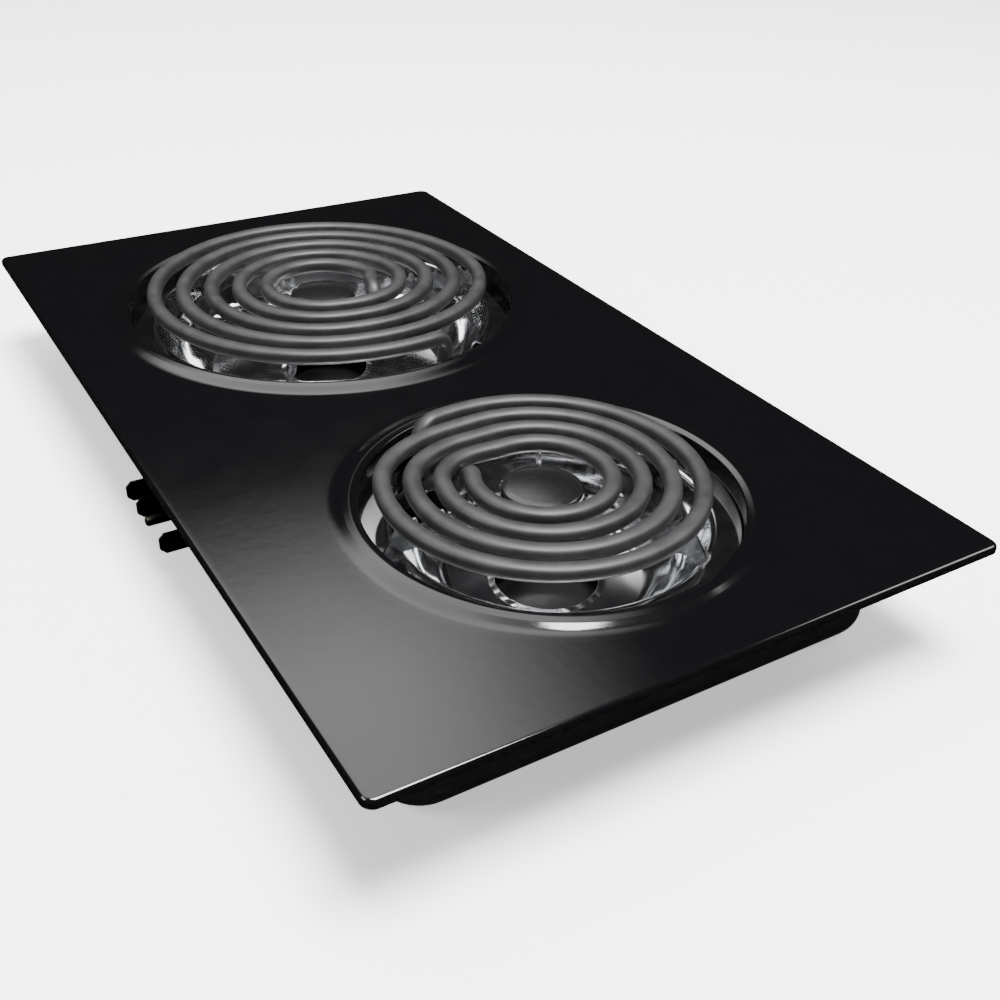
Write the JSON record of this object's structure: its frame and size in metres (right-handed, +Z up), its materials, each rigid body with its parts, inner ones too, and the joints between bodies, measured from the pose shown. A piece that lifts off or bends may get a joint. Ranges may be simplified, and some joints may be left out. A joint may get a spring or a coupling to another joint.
{
  "type": "coil cooktop cartridge",
  "caption": "Drop-in hot plate module: enamelled top over a burner box, plug-in spiral elements in chrome drip bowls, and a bladed plug on one side.",
  "frame": {"origin": "bottom centre of the burner box", "axes": "+Z up out of the top plate, +Y along the plate towards the large burner, -X towards the plug"},
  "size_m": [0.293, 0.508, 0.0695],
  "materials": {
    "enamel": "gloss",
    "box_paint": "satin",
    "chrome_plate": "polished",
    "sheath": "matte",
    "support_steel": "satin",
    "cap_enamel": "gloss",
    "terminal_steel": "satin",
    "blade_steel": "satin",
    "steatite": "matte",
    "plug_ceramic": "matte",
    "spring_bronze": "satin",
    "zinc_steel": "satin",
    "bracket_steel": "satin",
    "lead_red": "matte",
    "lead_black": "matte",
    "lead_green": "matte",
    "clamp_nylon": "matte"
  },
  "bodies": {
    "root": {"top_plate": "enamel", "burner_box": "box_paint", "weld_studs": "zinc_steel", "stud_nuts": "zinc_steel", "plug_block": "plug_ceramic", "ground_pin": "blade_steel", "plug_screws": "zinc_steel", "plug_lugs": "terminal_steel", "ground_lead": "lead_green", "ground_lug": "terminal_steel", "ground_screw": "zinc_steel", "lead_clamp": "clamp_nylon", "lead_clamp_screw": "zinc_steel", "plug_blade_large": "blade_steel", "plug_blade_common": "blade_steel", "plug_blade_small": "blade_steel", "large_lead_to_blade": "lead_red", "large_lead_to_common": "lead_black", "small_lead_to_common": "lead_black", "small_lead_to_blade": "lead_red", "large_drip_bowl": "chrome_plate", "large_receptacle_bracket": "bracket_steel", "large_pivot_pins": "zinc_steel", "large_bracket_rivets": "zinc_steel", "small_drip_bowl": "chrome_plate", "small_receptacle_bracket": "bracket_steel", "small_pivot_pins": "zinc_steel", "small_bracket_rivets": "zinc_steel"},
    "large_receptacle": {"large_receptacle_block": "steatite", "large_outer_contact": "spring_bronze", "large_inner_contact": "spring_bronze", "large_contact_screws": "zinc_steel", "large_lead_lugs": "terminal_steel"},
    "large_element": {"large_heating_coil": "sheath", "large_coil_support": "support_steel", "large_medallion": "cap_enamel", "large_outer_seal": "steatite", "large_inner_seal": "steatite", "large_outer_terminal": "terminal_steel", "large_inner_terminal": "terminal_steel", "large_terminal_bracket": "support_steel"},
    "small_receptacle": {"small_receptacle_block": "steatite", "small_outer_contact": "spring_bronze", "small_inner_contact": "spring_bronze", "small_contact_screws": "zinc_steel", "small_lead_lugs": "terminal_steel"},
    "small_element": {"small_heating_coil": "sheath", "small_coil_support": "support_steel", "small_medallion": "cap_enamel", "small_outer_seal": "steatite", "small_inner_seal": "steatite", "small_outer_terminal": "terminal_steel", "small_inner_terminal": "terminal_steel", "small_terminal_bracket": "support_steel"}
  },
  "joints": [
    {"name": "large_element_lift", "type": "hinge", "parent": "root", "child": "large_receptacle", "pos_m": [0.05587, -0.0069, 0.034], "axis": [0.9063, 0.4226, 0], "range_deg": [0, 15], "deforming": ["large_lead_to_blade", "large_lead_to_common"]},
    {"name": "large_element_withdraw", "type": "slide", "parent": "large_receptacle", "child": "large_element", "axis": [-0.4226, 0.9063, 0], "range_m": [0, 0.0226]},
    {"name": "small_element_lift", "type": "hinge", "parent": "root", "child": "small_receptacle", "pos_m": [-0.05245, -0.04023, 0.034], "axis": [-0.866, -0.5, 0], "range_deg": [0, 15], "deforming": ["small_lead_to_common", "small_lead_to_blade"]},
    {"name": "small_element_withdraw", "type": "slide", "parent": "small_receptacle", "child": "small_element", "axis": [0.5, -0.866, 0], "range_m": [0, 0.0226]}
  ],
  "couplings": [
    {"joint": "large_element_withdraw", "follows": "large_element_lift", "m_per_rad": 0.0859},
    {"joint": "small_element_withdraw", "follows": "small_element_lift", "m_per_rad": 0.0859}
  ]
}
